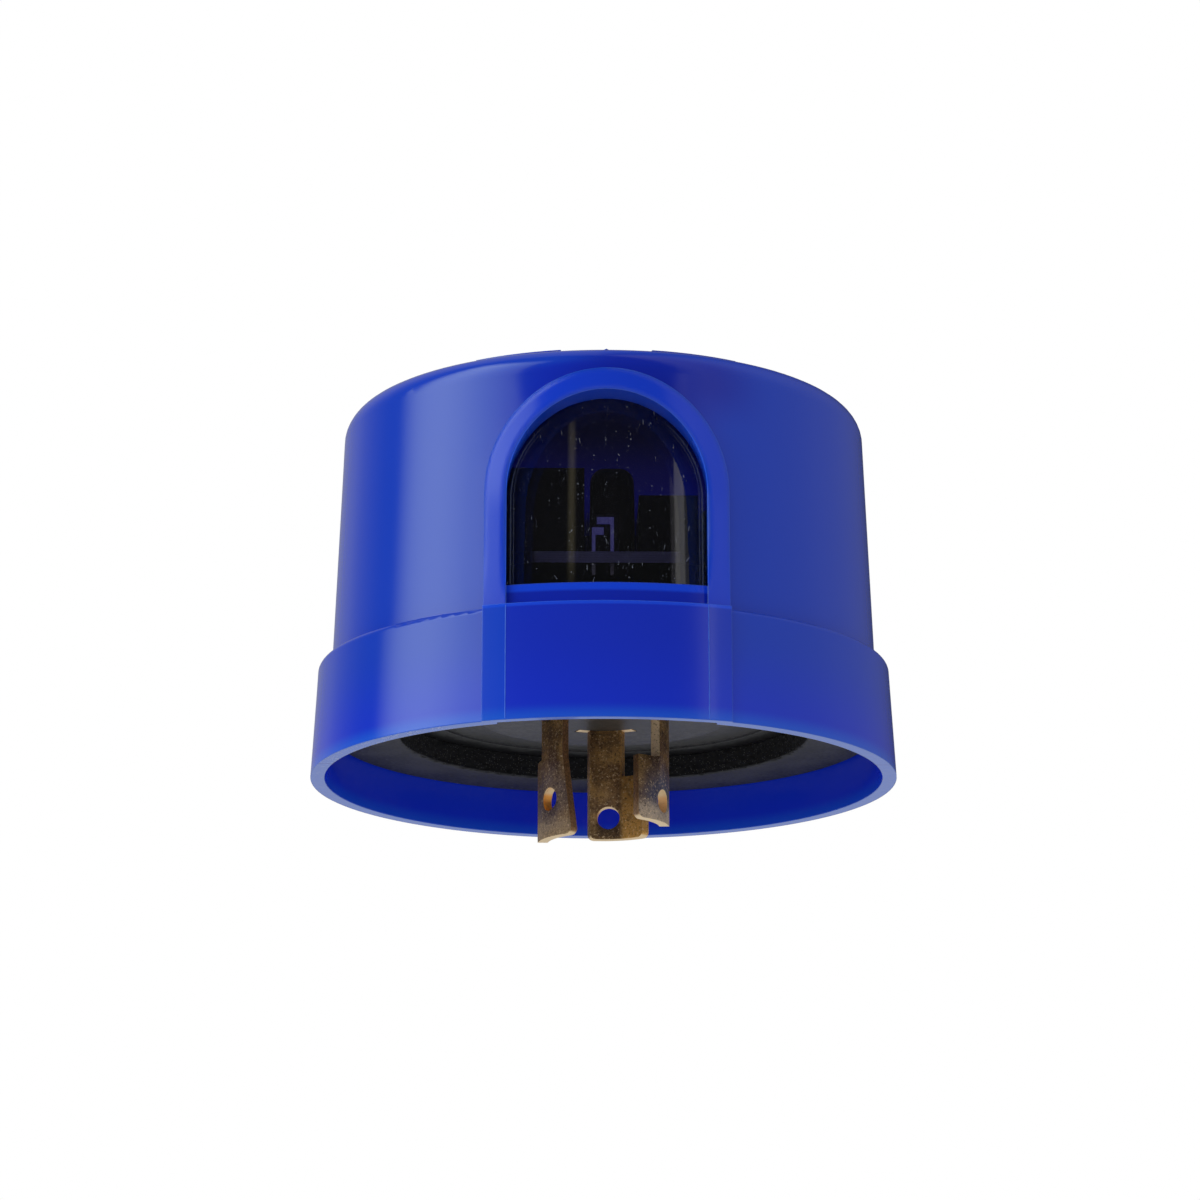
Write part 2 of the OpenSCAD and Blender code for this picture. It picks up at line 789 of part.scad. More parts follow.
housing();
window_pane();
seal_ring();
base_plate();
blade_line();
blade_load();
blade_neutral();
circuit_board();
board_screws();
light_sensor();
sensor_leads();
relay();
varistor();
dropper_capacitor();
smoothing_capacitor();
rectifier_diodes();
zener_diode();
resistors();
driver_transistor();
solder_joints();
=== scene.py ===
import bpy
import bmesh
import math
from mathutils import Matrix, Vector, noise


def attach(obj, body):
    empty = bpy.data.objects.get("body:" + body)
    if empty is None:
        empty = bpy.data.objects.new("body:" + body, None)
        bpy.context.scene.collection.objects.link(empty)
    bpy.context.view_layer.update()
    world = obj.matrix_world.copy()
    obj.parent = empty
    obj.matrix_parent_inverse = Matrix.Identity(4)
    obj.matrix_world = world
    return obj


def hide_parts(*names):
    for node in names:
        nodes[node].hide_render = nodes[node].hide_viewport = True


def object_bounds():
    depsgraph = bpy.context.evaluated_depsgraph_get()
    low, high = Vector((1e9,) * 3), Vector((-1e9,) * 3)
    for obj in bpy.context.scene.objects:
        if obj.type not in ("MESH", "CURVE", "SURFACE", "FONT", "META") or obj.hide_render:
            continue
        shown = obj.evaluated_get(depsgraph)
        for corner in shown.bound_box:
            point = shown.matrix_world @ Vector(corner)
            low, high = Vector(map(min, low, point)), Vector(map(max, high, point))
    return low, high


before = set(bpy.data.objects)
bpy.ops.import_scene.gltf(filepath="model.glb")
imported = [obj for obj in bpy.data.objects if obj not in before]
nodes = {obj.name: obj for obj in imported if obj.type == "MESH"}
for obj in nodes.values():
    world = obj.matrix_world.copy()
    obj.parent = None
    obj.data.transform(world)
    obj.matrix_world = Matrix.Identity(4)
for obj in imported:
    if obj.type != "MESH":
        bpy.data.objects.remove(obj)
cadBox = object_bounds()
scene = bpy.context.scene
mm = 0.001
black = (0.0, 0.0, 0.0)
white = (1.0, 1.0, 1.0)


# a value or colour in a node tree, so that shader maths reads as plain expressions
class Val:
    def __init__(self, tree, socket):
        self.tree = tree
        self.socket = socket

    def math(self, operation, *others, clamp=False):
        settings = {"operation": operation, "use_clamp": clamp}
        return self.tree.add("ShaderNodeMath", settings, dict(enumerate((self, *others))))

    def __add__(self, other):
        return self.math("ADD", other)

    def __sub__(self, other):
        return self.math("SUBTRACT", other)

    def __mul__(self, other):
        return self.math("MULTIPLY", other)

    def __truediv__(self, other):
        return self.math("DIVIDE", other)

    def __gt__(self, other):
        return self.math("GREATER_THAN", other)

    def __lt__(self, other):
        return self.math("LESS_THAN", other)

    def __neg__(self):
        return self.math("MULTIPLY", -1.0)

    def __abs__(self):
        return self.math("ABSOLUTE")

    def __rsub__(self, other):
        return self.tree.add("ShaderNodeMath", {"operation": "SUBTRACT"}, {0: other, 1: self})

    __radd__ = __add__

    def clamp(self):
        return self.math("ADD", 0.0, clamp=True)

    def span(self, other):  # length of two legs at a right angle
        return (self * self + other * other).math("SQRT")

    def ramp(self, low, high):  # smooth step from 0 to 1
        settings = {"interpolation_type": "SMOOTHSTEP"}
        sockets = {"Value": self, "From Min": low, "From Max": high}
        return self.tree.add("ShaderNodeMapRange", settings, sockets)


# one node tree, of a material or of the world
class Tree:
    def __init__(self, owner):
        owner.use_nodes = True
        self.tree = owner.node_tree
        self.tree.nodes.clear()

    # any node: its type, the settings that come first, then the values or links of its sockets
    def add(self, kind, settings=None, sockets=None, out=0):
        node = self.tree.nodes.new(kind)
        for name, value in (settings or {}).items():
            if name == "stops":
                self.setStops(node.color_ramp, value)
            else:
                setattr(node, name, value)
        for name, value in (sockets or {}).items():
            if isinstance(value, Val):
                self.tree.links.new(value.socket, node.inputs[name])
            else:
                node.inputs[name].default_value = value
        return Val(self, node.outputs[out]) if len(node.outputs) else node

    def setStops(self, ramp, stops):
        while len(ramp.elements) < len(stops):
            ramp.elements.new(0.5)
        for element, (place, colour) in zip(ramp.elements, stops):
            element.position = place
            element.color = (*colour, 1.0)

    def pos(self):
        return self.add("ShaderNodeTexCoord", None, None, "Object")

    def normal(self):
        return self.add("ShaderNodeNewGeometry", None, None, "Normal")

    def split(self, vector):
        node = self.add("ShaderNodeSeparateXYZ", None, {0: vector}).socket.node
        return [Val(self, node.outputs[i]) for i in range(3)]

    def join(self, x, y, z):
        return self.add("ShaderNodeCombineXYZ", None, {0: x, 1: y, 2: z})

    def grey(self, level):  # one value in all three channels
        return self.join(level, level, level)

    def vec(self, operation, a, b, out=0):
        return self.add("ShaderNodeVectorMath", {"operation": operation}, {0: a, 1: b}, out)

    def mix(self, mask, a, b):  # colours
        a, b = (end if isinstance(end, Val) else (*end, 1.0) for end in (a, b))
        return self.add("ShaderNodeMix", {"data_type": "RGBA"}, {0: mask, 6: a, 7: b}, 2)

    def grain(self, vector, scale, detail=2.0, roughness=0.5):
        sockets = {"Vector": vector, "Scale": scale, "Detail": detail, "Roughness": roughness}
        return self.add("ShaderNodeTexNoise", None, sockets, "Fac")

    # small marks: cells whose random share is high enough, near their middles
    def specks(self, vector, scale, size, share, flat=False):
        settings = {"feature": "F1", "voronoi_dimensions": "2D" if flat else "3D"}
        node = self.add("ShaderNodeTexVoronoi", settings, {"Vector": vector, "Scale": scale}).socket.node
        near = Val(self, node.outputs["Distance"]) < size
        chosen = self.split(Val(self, node.outputs["Color"]))[0] > 1.0 - share
        return near * chosen

    def bump(self, height, strength, distance, normal=None):
        sockets = {"Height": height, "Strength": strength, "Distance": distance}
        if normal:
            sockets["Normal"] = normal
        return self.add("ShaderNodeBump", None, sockets)

    # the softened normal, and how far it turns within the radius: 0 on flats, up to 1 on edges
    def edges(self, radius, gain):
        soft = self.add("ShaderNodeBevel", {"samples": 6}, {"Radius": radius})
        turn = 1.0 - self.vec("DOT_PRODUCT", soft, self.normal(), "Value")
        return soft, (turn * gain).clamp()

    def finish(self, sockets):
        shader = self.add("ShaderNodeBsdfPrincipled", None, sockets)
        self.add("ShaderNodeOutputMaterial", None, {"Surface": shader})


def newMaterial(name):
    material = bpy.data.materials.new(name)
    return material, Tree(material)


def dress(material, *names):
    for name in names:
        slots = nodes[name].data.materials
        slots.clear()
        slots.append(material)


# the CAD mesh of a node, with its corners welded
def weldedMesh(name):
    shape = bmesh.new()
    shape.from_mesh(nodes[name].data)
    bmesh.ops.remove_doubles(shape, verts=shape.verts, dist=1e-6)
    return shape


def addPiece(name, shape, material):
    mesh = bpy.data.meshes.new(name)
    shape.to_mesh(mesh)
    shape.free()
    mesh.materials.append(material)
    piece = bpy.data.objects.new(name, mesh)
    scene.collection.objects.link(piece)
    return piece


# camera and studio

camera = {
    "place": (-6.4 * mm, -550 * mm, -123.4 * mm), "turn": -0.67, "tilt": 14.65,
    "shift": -0.53, "lens": 117.78, "sensor": 36.0, "clip": (0.01, 20.0),
}


def placeCamera():
    data = bpy.data.cameras.new("photoCamera")
    data.lens = camera["lens"]
    data.sensor_width = camera["sensor"]
    data.clip_start, data.clip_end = camera["clip"]
    eye = bpy.data.objects.new("photoCamera", data)
    turn = math.radians(camera["turn"])
    aside = Vector((math.cos(turn), math.sin(turn), 0)) * camera["shift"] * mm
    eye.location = Vector(camera["place"]) + aside
    eye.rotation_euler = (math.radians(90 + camera["tilt"]), 0, turn)
    scene.collection.objects.link(eye)
    scene.camera = eye
    print("camera placed")


studio = {
    "ambient": (0.56, 0.57, 0.60),
    "below": 0.60,
    # heights in degrees where the room begins, and where the softbox ends and begins
    "horizon": (-8.0, 2.0),
    "boxHigh": (58, 68),
    "boxLow": (10, 16),
    # what gloss mirrors, by turn in degrees from the window's side towards +X: room and softbox
    "room": [(-180, 0.30), (-140, 0.36), (-112, 0.10), (-98, 0.06), (-38, 0.04), (33, 0.04), (36, 0.30),
             (46, 0.48), (60, 0.42), (105, 0.40), (130, 0.28), (165, 0.06), (180, 0.20)],
    "box": [(-180, 0.0), (-102, 0.0), (-97, 0.8), (-91, 1.75), (-84, 2.35), (-75, 2.65), (-66, 2.40),
            (-57, 1.85), (-40, 0.95), (-38, 0.0), (180, 0.0)],
    "brightest": 3.0,
    "boxTint": (1.0, 1.18, 0.89),
    # two narrow strips that the pane mirrors
    "strips": [
        {"turn": -15.2, "half": 2.5, "soft": 2.2, "high": (21.4, 21.8), "low": (19.05, 19.8),
         "glow": (0.49, 0.44, 0.26)},
        {"turn": 34.0, "half": 2.8, "soft": 1.0, "high": (20.9, 21.9), "low": (0.0, 8.0),
         "glow": (1.0, 0.99, 0.96)},
    ],
}


def drawWorld():
    world = bpy.data.worlds.new("whiteStudio")
    scene.world = world
    tree = Tree(world)
    path = tree.add("ShaderNodeLightPath").socket.node
    isCamera, isGlossy, isThrough = (
        Val(tree, path.outputs[name]) for name in ("Is Camera Ray", "Is Glossy Ray", "Is Transmission Ray")
    )
    x, y, z = tree.split(tree.add("ShaderNodeTexCoord", None, None, "Generated"))
    turn = x.math("ARCTAN2", -y)
    rise = z.math("ARCSINE") * math.degrees(1)

    def around(name):
        stops = [(0.5 + degrees / 360, (glow / studio["brightest"],) * 3) for degrees, glow in studio[name]]
        ramp = tree.add("ShaderNodeValToRGB", {"stops": stops}, {"Fac": turn / math.tau + 0.5})
        return tree.split(ramp)[0] * studio["brightest"]

    up = rise.ramp(*studio["horizon"])
    room = around("room") * up + (1.0 - up) * studio["below"]
    box = around("box") * (rise.ramp(*studio["boxLow"]) * (1.0 - rise.ramp(*studio["boxHigh"])))
    mirrored = tree.vec("MULTIPLY", tree.grey(box), studio["boxTint"])
    mirrored = tree.vec("ADD", mirrored, tree.grey(room))
    for litStrip in studio["strips"]:
        away = abs(turn * math.degrees(1) - litStrip["turn"])
        lit = 1.0 - away.ramp(litStrip["half"] - litStrip["soft"], litStrip["half"])
        lit = lit * rise.ramp(*litStrip["low"]) * (1.0 - rise.ramp(*litStrip["high"]))
        mirrored = tree.vec("ADD", mirrored, tree.vec("MULTIPLY", tree.grey(lit), litStrip["glow"]))
    light = tree.mix(isGlossy, studio["ambient"], mirrored)
    light = tree.mix((isCamera + isThrough).clamp(), light, white)
    back = tree.add("ShaderNodeBackground", None, {"Color": light, "Strength": 1.0})
    tree.add("ShaderNodeOutputWorld", None, {"Surface": back})
    print("world drawn")


# turn as in the studio, size is width and height, glow is in watts for each square metre of it
lamps = [
    {"name": "leftSoftbox", "turn": -68, "rise": 24, "far": 1.2, "size": (1.3, 0.95), "glow": 6.2},
    {"name": "rightStrip", "turn": 42, "rise": 20, "far": 1.2, "size": (0.3, 0.9), "glow": 2.0},
    {"name": "topSoftbox", "turn": -20, "rise": 78, "far": 1.2, "size": (0.9, 0.9), "glow": 1.8},
]


def placeLamp(lamp):
    data = bpy.data.lights.new(lamp["name"], "AREA")
    data.shape = "RECTANGLE"
    data.size, data.size_y = lamp["size"]
    data.energy = lamp["glow"] * data.size * data.size_y
    turn, rise = math.radians(lamp["turn"]), math.radians(lamp["rise"])
    way = Vector((math.sin(turn) * math.cos(rise), -math.cos(turn) * math.cos(rise), math.sin(rise)))
    light = bpy.data.objects.new(lamp["name"], data)
    light.location = way * lamp["far"]
    light.rotation_euler = way.to_track_quat("Z", "Y").to_euler()
    light.visible_glossy = False  # gloss sees the world's own softbox
    scene.collection.objects.link(light)
    print("lamp placed:", lamp["name"])


ground = {
    "drop": -1.3, "size": 40.0,
    "pale": (0.92, 0.92, 0.93), "shade": (0.7, 0.7, 0.72),
    "whiteness": 0.7,  # share of plain white that the camera sees
}


def layFloor():
    bpy.ops.mesh.primitive_plane_add(size=ground["size"], location=(0, 0, ground["drop"]))
    floor = bpy.context.object
    floor.name = "studioFloor"
    material, tree = newMaterial("paleFloor")
    shade = tree.grain(tree.pos(), 3.0)
    colour = tree.mix(shade * 0.06, ground["pale"], ground["shade"])
    matt = tree.add("ShaderNodeBsdfDiffuse", None, {"Color": colour})
    plain = tree.add("ShaderNodeEmission", None, {"Color": (*white, 1.0), "Strength": 1.0})
    seen = tree.add("ShaderNodeLightPath", None, None, "Is Camera Ray")
    pale = tree.add("ShaderNodeMixShader", None, {0: seen * ground["whiteness"], 1: matt, 2: plain})
    tree.add("ShaderNodeOutputMaterial", None, {"Surface": pale})
    floor.data.materials.append(material)
    print("floor laid")


# housing: glossy blue moulding

housing = {
    "deep": (0.005, 0.046, 0.49),
    "cloud": (0.008, 0.055, 0.55),
    # painted shade: the blue of faces turned to the front
    "front": (0.0045, 0.025, 0.46),
    # painted shade above the frame and under the sill's lip; also the colour of the mould's parting line
    "high": (0.004, 0.019, 0.37),
    # painted light: the lower walls and the panel, lit from below and through the plastic
    "low": (0.0045, 0.028, 0.62),
    # painted glow of the thin frame, for light scattered through it
    "frame": (0.006, 0.052, 0.66),
    # painted highlight on the lips of the sill and the panel
    "lip": (0.007, 0.085, 0.85),
    # painted highlight on the panel's borders
    "litStrip": (0.012, 0.080, 0.66),
    "clear": (0.012, 0.150, 0.72),  # thin stretches, where light comes through
    # painted highlight along the edges
    "edge": (0.09, 0.27, 0.88),
    # painted light on the rim's underside
    "rimFace": (0.11, 0.27, 0.80),
    "scuff": (0.34, 0.42, 0.70),
    "dust": (0.55, 0.58, 0.66),
    "ribs": (0.001, 0.002, 0.015),
    # light that comes through the walls, seen inside
    "cavity": (0.005, 0.004, 0.105),
    "skirt": (0.001, 0.001, 0.055),
    "reveal": (0.003, 0.035, 0.30),
    "edgeRadius": 0.22 * mm,
    "frameRadius": 1.4 * mm,
    "lean": 0.14,
    # the window: middle of its arch, half widths, fronts of the frame, the panel and the opening
    "archLevel": 25.95 * mm,
    "frameHalf": 16.8 * mm,
    "openHalf": 13.65 * mm,
    "frameFront": -35.8 * mm,
    "panelFront": -38.6 * mm,
    "openFront": -34.0 * mm,
    "openDepth": (35.0 * mm, 39.0 * mm),
    # levels, from the rim up
    "rim": -6.5 * mm,
    "rimFaceTop": -6.15 * mm,
    "clearTop": -4.3 * mm,
    "lowTop": 7.0 * mm,
    "skirtTop": 7.6 * mm,
    "panelLip": (8.9 * mm, 9.2 * mm),
    "frameFoot": 9.6 * mm,
    "panelTop": 9.7 * mm,
    "roundRise": (10.0 * mm, 20.0 * mm),
    "ribRise": (11.0 * mm, 40.0 * mm),
    "sillLip": (11.4 * mm, 11.9 * mm),
    "sillTop": 12.6 * mm,
    "openFoot": 12.9 * mm,
    "leanRise": (22.0 * mm, 27.0 * mm),
    "openFade": (29.0 * mm, 37.0 * mm),
    "highRise": (35.0 * mm, 42.0 * mm),
    "ceiling": 40.0 * mm,
    "cavityRise": (41.5 * mm, 44.0 * mm),
    # places across and towards the back
    "highLeft": (-9.0 * mm, 2.0 * mm),
    "highRight": (14.0 * mm, 24.0 * mm),
    "scuffLeft": (12.0 * mm, 28.0 * mm),
    "scuffFront": (0.0, 25.0 * mm),
    "partingLine": -11.8 * mm,
    "partingHalf": (0.05 * mm, 0.16 * mm),
    "ribRadius": 36.0 * mm,
    "cavityBack": (-4.0 * mm, 24.0 * mm),
}


# distance from the middle line of the arch, in the window's own plane
def archReach(x, z):
    return x.span((z - housing["archLevel"]).math("MAXIMUM", 0.0))


def bluePlastic():
    material, tree = newMaterial("bluePlastic")
    pos = tree.pos()
    x, y, z = tree.split(pos)
    nx, ny, nz = tree.split(tree.normal())
    soft, edge = tree.edges(housing["edgeRadius"], 2.2)
    cloud = tree.grain(pos, 45.0, 3.0)
    radius = x.span(y)
    reach = archReach(x, z)
    between = abs(x) < housing["openHalf"]
    proud = (y < housing["frameFront"]) * (z > housing["frameFoot"])
    onFrame = proud * (reach < housing["frameHalf"]) * (reach > housing["openHalf"])
    onSill = proud * (z < housing["sillTop"]) * between
    onFace = (y < housing["panelFront"]) * (z < housing["panelTop"])
    onPanel = onFace * between

    colour = tree.mix(cloud * 0.10, housing["deep"], housing["cloud"])
    # painted shade: faces turned straight to the front are painted darker and less green
    colour = tree.mix((-ny).ramp(0.88, 0.99), colour, housing["front"])
    # painted shade: the wall above the frame, turned to the front, is painted darker where little light
    # falls
    above = z.ramp(*housing["highRise"]) * x.ramp(*housing["highLeft"])
    above = above * (1.0 - x.ramp(*housing["highRight"]))
    colour = tree.mix((-ny).ramp(0.6, 0.9) * above, colour, housing["high"])
    # painted light: the walls are painted lighter towards the rim
    colour = tree.mix((1.0 - z.ramp(housing["rim"], housing["lowTop"])) * 0.7, colour, housing["low"])
    # painted glow: the frame is painted lighter
    colour = tree.mix(onFrame * 0.75, colour, housing["frame"])
    # painted light and shade: a painted highlight along the sill's lip with painted shade below it, the
    # panel painted lighter, and painted highlights on the panel's borders, stronger on the left
    lip = z.ramp(*housing["sillLip"])
    colour = tree.mix(onSill * (1.0 - lip) * 0.5, colour, housing["high"])
    colour = tree.mix(onPanel * 0.3, colour, housing["low"])
    litBorder = onFace * (abs(x) > housing["openHalf"]) * (0.1 + (x < 0.0) * 0.5)
    colour = tree.mix(litBorder, colour, housing["litStrip"])
    litBorder = onFace * z.ramp(*housing["panelLip"]) + onSill * lip
    colour = tree.mix(litBorder.clamp() * 0.6, colour, housing["lip"])
    # painted glow: the skirt is painted lighter near the rim, where light comes through its thin edge
    nearRimGlow = 1.0 - z.ramp(housing["rim"], housing["clearTop"])
    colour = tree.mix(nearRimGlow * 0.5, colour, housing["clear"])
    # painted highlight: the edges are painted lighter
    colour = tree.mix(edge * 0.6, colour, housing["edge"])
    # painted light: the rim's underside is painted lighter, as lit from below; it is also scuffed, most of
    # all at the front left
    rimFace = (z < housing["rimFaceTop"]) * (-nz).ramp(0.3, 0.8)
    colour = tree.mix(rimFace * 0.55, colour, housing["rimFace"])
    under = rimFace * tree.grain(pos, 700.0, 4.0, 0.7).ramp(0.50, 0.62)
    left = (-x).ramp(*housing["scuffLeft"]) * (-y).ramp(*housing["scuffFront"])
    scuff = under * (left * 0.7 + 0.08)
    colour = tree.mix(scuff, colour, housing["scuff"])
    # the mould's parting line crosses the rim on both sides
    crossing = rimFace * (1.0 - abs(y - housing["partingLine"]).ramp(*housing["partingHalf"]))
    colour = tree.mix(crossing * 0.8, colour, housing["high"])
    dust = tree.specks(pos, 260.0, 0.06, 0.05)
    colour = tree.mix(dust * 0.7, colour, housing["dust"])
    # the ribs behind the pane are in the dark
    foot, head = housing["ribRise"]
    behind = (radius < housing["ribRadius"]) * (z > foot) * (z < head) * (ny < -0.4)
    colour = tree.mix(behind * 0.9, colour, housing["ribs"])
    rough = 0.11 + (nz > 0.95) * 0.22 + cloud * 0.05 + onPanel * 0.06 + scuff * 0.35 + dust * 0.4

    # the frame's edges are rounder than the others
    rounder, frameEdgeGlow = tree.edges(housing["frameRadius"], 1.6)
    around = onFrame * z.ramp(*housing["roundRise"])
    turned = tree.vec("ADD", tree.vec("MULTIPLY", soft, tree.grey(1.0 - around)),
                      tree.vec("MULTIPLY", rounder, tree.grey(around)))
    # painted highlight: the frame's rounded edges are painted lighter
    colour = tree.mix(frameEdgeGlow * around * 0.5, colour, housing["clear"])
    # and the arch's face leans outward
    lean = onFrame * z.ramp(*housing["leanRise"]) * housing["lean"] / reach
    turned = tree.vec("ADD", turned, tree.join(x * lean, 0.0, (z - housing["archLevel"]) * lean))
    turned = tree.vec("NORMALIZE", turned, black)
    skin = tree.bump(tree.grain(pos, 520.0, 2.0), 0.05, 0.05 * mm, turned)

    # inside, the skirt glows, and so does the hollow of the top, more towards the back
    inward = (-(x * nx + y * ny) / radius) > 0.6
    through = tree.mix(inward * (z < housing["skirtTop"]), black, housing["skirt"])
    cavity = z.ramp(*housing["cavityRise"]) * inward + (z > housing["ceiling"]) * (nz < -0.5)
    toBack = y.ramp(*housing["cavityBack"]) * 0.83 + 0.17
    through = tree.mix(cavity.clamp() * toBack, through, housing["cavity"])
    # the walls of the window's opening glow towards the front
    inOpening = (y < housing["openFront"]) * (z > housing["openFoot"])
    inOpening = inOpening * (reach < housing["openHalf"] + 0.06 * mm)
    inOpening = inOpening * (1.0 - z.ramp(*housing["openFade"]) * 0.9)
    through = tree.mix(inOpening * (-y).ramp(*housing["openDepth"]), through, housing["reveal"])
    tree.finish({
        "Base Color": colour, "Roughness": rough, "Normal": skin, "IOR": 1.5,
        "Emission Color": through, "Emission Strength": 1.0,
    })
    return material


# window pane: dark clear plastic with dust and short fibres on it

pane = {
    "tint": (0.54, 0.53, 0.57),
    "dust": (0.30, 0.33, 0.38),
    "edge": (0.03, 0.10, 0.16),
    "front": -30.0 * mm,
    "bend": 0.003,
    # turn in degrees, length over width and scale of the fibres
    "fibres": [(35, 6.0, 760.0), (-50, 7.0, 700.0), (80, 5.0, 820.0), (5, 6.0, 780.0)],
    # two lines along the bevelled border: how far in, and where each fades
    "outerLine": (0.55 * mm, 0.05 * mm, 0.12 * mm),
    "innerLine": (0.95 * mm, 0.03 * mm, 0.08 * mm),
    "lineAside": (7.0 * mm, 12.5 * mm),
}


def smokePane():
    material, tree = newMaterial("smokePane")
    pos = tree.pos()
    x, y, z = tree.split(pos)
    flat = tree.join(x, z, 0.0)
    bend = tree.add("ShaderNodeTexNoise", None, {"Vector": pos, "Scale": 260.0, "Detail": 1.0}, "Color")
    bend = tree.vec("SUBTRACT", bend, (0.5, 0.5, 0.5))
    bent = tree.vec("ADD", flat, tree.vec("MULTIPLY", bend, (pane["bend"],) * 3))
    specks = tree.specks(flat, 640.0, 0.055, 0.3, True) + tree.specks(flat, 300.0, 0.035, 0.3, True)
    fibres = tree.specks(flat, 1100.0, 0.07, 0.16, True) * 0.5
    for turn, stretch, scale in pane["fibres"]:
        rotation = (0, 0, math.radians(turn))
        sockets = {"Vector": bent, "Rotation": rotation, "Scale": (1.0, 1.0 / stretch, 1.0)}
        turned = tree.add("ShaderNodeMapping", None, sockets)
        fibres = fibres + tree.specks(turned, scale, 0.04, 0.2, True)
    front = y < pane["front"]
    marks = (specks * 0.45 + fibres * 0.5).clamp() * tree.grain(pos, 500.0).ramp(0.3, 0.6) * front
    # the pane's bevelled border catches a little light
    inside = housing["openHalf"] - archReach(x, z)

    def line(place, low, high):
        return 1.0 - abs(inside - place).ramp(low, high)

    litBorder = (line(*pane["outerLine"]) + line(*pane["innerLine"]) * 0.6).clamp()
    litBorder = litBorder * front * abs(x).ramp(*pane["lineAside"]) * 0.4
    clear = tree.add("ShaderNodeBsdfTransparent", None, {"Color": (*pane["tint"], 1.0)})
    mirror = tree.add("ShaderNodeBsdfGlossy", None, {"Color": (*white, 1.0), "Roughness": 0.02})
    gloss = tree.add("ShaderNodeFresnel", None, {"IOR": 1.5})
    glass = tree.add("ShaderNodeMixShader", None, {0: gloss, 1: clear, 2: mirror})
    colour = tree.mix(litBorder, pane["dust"], pane["edge"])
    sockets = {"Base Color": colour, "Roughness": 0.6, "Specular IOR Level": 0.1}
    dirt = tree.add("ShaderNodeBsdfPrincipled", None, sockets)
    dirty = (marks * 0.85 + litBorder + 0.007).clamp()
    both = tree.add("ShaderNodeMixShader", None, {0: dirty, 1: glass, 2: dirt})
    tree.add("ShaderNodeOutputMaterial", None, {"Surface": both})
    return material


# foam seal: smooth skin on its face, coarse where it was cut; lengths in mm

seal = {
    "round": 0.35,
    "inset": 0.02,
    "turns": 540,
    "swayDepth": 0.18,
    "pitDepth": 0.36,
    "skin": (0.038, 0.039, 0.046),
    "skinDark": (0.010, 0.011, 0.015),
    "skinMark": (0.10, 0.10, 0.11),
    # painted shade beside the cut
    "shadeBesideCut": (0.010, 0.010, 0.013),
    "cut": (0.010, 0.010, 0.010),
    "pore": (0.004, 0.004, 0.004),
    "crumb": (0.13, 0.13, 0.12),
    "darkEnds": (29.0, 36.0),
}


# radius, level and coarseness of each point around the ring's section
def sealOutline():
    corners = [v.co / mm for v in nodes["seal_ring"].data.vertices]
    radii = [corner.xy.length for corner in corners]
    inner, outer = min(radii) + seal["inset"], max(radii) - seal["inset"]
    thick, r = max(corner.z for corner in corners), seal["round"]
    points = []
    for i in range(13):  # smooth face, from the inner corner outwards
        points.append((inner + r + (outer - inner - 2 * r) * i / 12, 0.0, 0.0))
    for i in range(1, 4):
        a = math.radians(90 * i / 4)
        points.append((outer - r + r * math.sin(a), r - r * math.cos(a), 0.0))
    for i in range(5):
        points.append((outer, r + (thick - r) * i / 4, 0.0))
    for i in range(1, 6):
        points.append((outer - (outer - inner) * i / 6, thick, 0.0))
    for i in range(13):  # cut edge, from the top back down
        points.append((inner, thick - (thick - r) * i / 12, 1.0))
    for i in range(1, 4):
        a = math.radians(90 * i / 4)
        points.append((inner + r - r * math.cos(a), r - r * math.sin(a), 0.6))
    return points


def foamSkin():
    material, tree = newMaterial("sealFoamSkin")
    pos = tree.pos()
    x, y = tree.split(pos)[:2]
    face = (-tree.split(tree.normal())[2]).ramp(0.35, 0.8)
    pores = tree.specks(pos, 900.0, 0.35, 0.6)
    crumbs = (tree.specks(pos, 4200.0, 0.36, 0.26) + tree.specks(pos, 2600.0, 0.24, 0.10)).clamp()
    mottled = (tree.grain(pos, 160.0, 4.0, 0.6) + tree.grain(pos, 1700.0, 2.0, 0.6)).ramp(0.8, 1.2)
    skin = tree.mix(mottled, seal["skinDark"], seal["skin"])
    skin = tree.mix(tree.specks(pos, 600.0, 0.12, 0.06), skin, seal["skinMark"])
    cut = tree.mix(pores * 0.6, seal["cut"], seal["pore"])
    cut = tree.mix(crumbs * 0.5, cut, seal["crumb"])
    # painted shade: the face is darker beside the cut
    away = x.span(y).ramp(*(end * mm for end in seal["darkEnds"]))
    skin = tree.mix((1.0 - away) * 0.55, skin, seal["shadeBesideCut"])
    height = face * tree.grain(pos, 500.0, 3.0) * 0.25 + (1.0 - face) * tree.grain(pos, 1500.0, 4.0, 0.7)
    tree.finish({
        "Base Color": tree.mix(face, cut, skin),
        "Roughness": 0.92 - face * 0.32,
        "Normal": tree.bump(height, 0.5, 0.15 * mm),
        "IOR": 1.4,
    })
    return material


